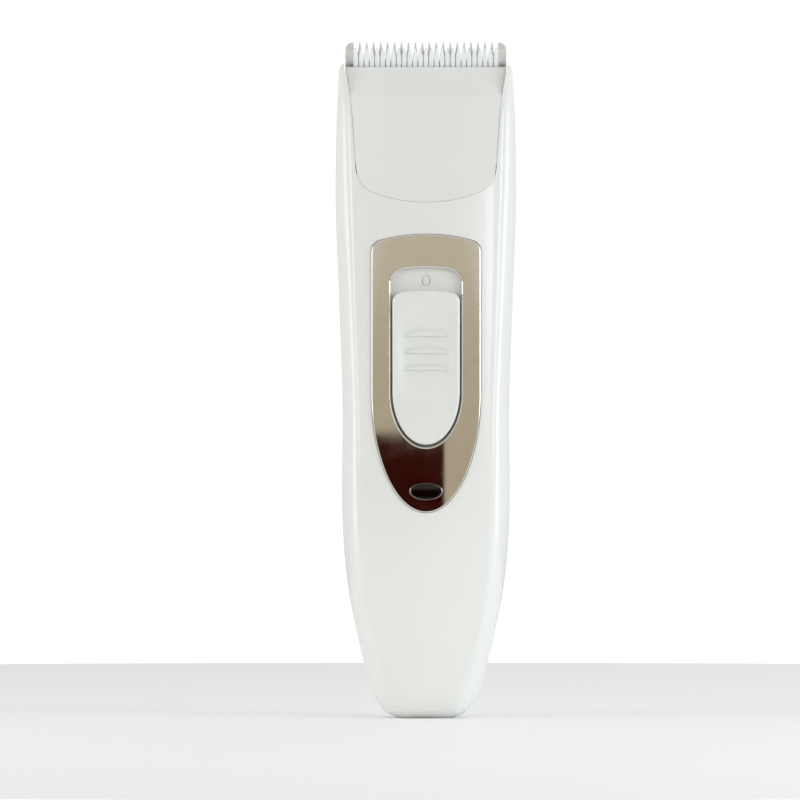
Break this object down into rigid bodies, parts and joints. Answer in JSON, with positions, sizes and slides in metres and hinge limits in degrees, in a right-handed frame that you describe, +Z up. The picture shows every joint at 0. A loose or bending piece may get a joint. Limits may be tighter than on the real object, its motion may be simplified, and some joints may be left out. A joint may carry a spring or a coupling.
{
  "type": "electric pet clipper",
  "caption": "Cordless electric pet clipper: tapered glossy handle with a chrome-framed slide switch, charge light, clip-on head with a steel comb blade and a reciprocating ceramic blade.",
  "frame": {"origin": "centre of the flat lower end of the handle, where the clipper stands upright", "axes": "+Z up along the clipper towards the blade tips, -Y out of the switch side, +X to the right when facing the switch"},
  "size_m": [0.047, 0.0402, 0.176],
  "materials": {
    "white_shell": "glossy white ABS",
    "white_button": "satin white ABS",
    "chrome_trim": "mirror chrome plated ABS",
    "smoked_lens": "smoked clear plastic",
    "screw_steel": "zinc plated",
    "blade_steel": "ground stainless steel",
    "blade_ceramic": "polished white zirconia",
    "spring_steel": "spring strip",
    "inner_plastic": "black moulded plastic",
    "carrier_plastic": "natural acetal",
    "board_green": "coated fibreglass board",
    "chip_black": "epoxy",
    "led_red": "diffused red",
    "cell_sleeve": "shrink sleeve",
    "nickel_strip": "nickel",
    "contact_brass": "tinned brass",
    "wire_red": "PVC insulation",
    "wire_black": "PVC insulation",
    "motor_steel": "drawn steel can",
    "magnet_grey": "ferrite",
    "bronze_bush": "sintered bronze",
    "copper_coil": "enamelled copper",
    "seal_foam": "closed-cell foam",
    "sleeve_rubber": "soft rubber"
  },
  "bodies": {
    "housing": {"front_housing": "white_shell", "rear_housing": "white_shell", "housing_screws": "screw_steel", "switch_bezel": "chrome_trim", "led_lens": "smoked_lens", "power_switch": "motor_steel", "circuit_board": "board_green", "board_components": "chip_black", "board_screws": "screw_steel", "charge_led": "led_red", "battery_cell_left": "cell_sleeve", "battery_cell_right": "cell_sleeve", "battery_tabs": "nickel_strip", "battery_cradle": "inner_plastic", "charge_socket": "inner_plastic", "socket_contacts": "contact_brass", "socket_wires": "wire_black", "battery_wires": "wire_red", "motor_wires": "wire_red", "motor_can": "motor_steel", "motor_end_cap": "inner_plastic", "motor_bushes": "bronze_bush", "motor_magnets": "magnet_grey", "motor_brushes": "contact_brass", "motor_terminals": "contact_brass", "motor_sleeve": "sleeve_rubber", "motor_mount": "inner_plastic", "motor_screws": "screw_steel", "head_clips": "spring_steel", "hair_guard": "seal_foam"},
    "rotor": {"motor_shaft": "screw_steel", "rotor_core": "motor_steel", "rotor_windings": "copper_coil", "commutator": "contact_brass", "eccentric_cam": "carrier_plastic", "eccentric_pin": "screw_steel"},
    "power_button": {"switch_button": "white_button", "switch_carrier": "carrier_plastic", "switch_slider": "inner_plastic"},
    "blade_head": {"head_cover": "white_shell", "blade_holder": "inner_plastic", "fixed_blade": "blade_steel", "blade_screws": "screw_steel", "blade_springs": "spring_steel"},
    "moving_blade_set": {"moving_blade": "blade_ceramic", "blade_follower": "carrier_plastic"}
  },
  "joints": [
    {"name": "power_slide", "type": "slide", "parent": "housing", "child": "power_button", "axis": [0, 0, 1], "range_m": [0, 0.005]},
    {"name": "motor_spin", "type": "hinge", "parent": "housing", "child": "rotor", "pos_m": [0, 0.0015, 0.109], "axis": [0, 0, 1], "range_deg": [-90, 90]},
    {"name": "head_release", "type": "slide", "parent": "housing", "child": "blade_head", "axis": [0, 0, 1], "range_m": [0, 0.035]},
    {"name": "blade_stroke", "type": "slide", "parent": "blade_head", "child": "moving_blade_set", "axis": [1, 0, 0], "range_m": [-0.001, 0.001]}
  ],
  "couplings": [
    {"joint": "blade_stroke", "follows": "motor_spin", "m_per_rad": 0.00063662}
  ]
}
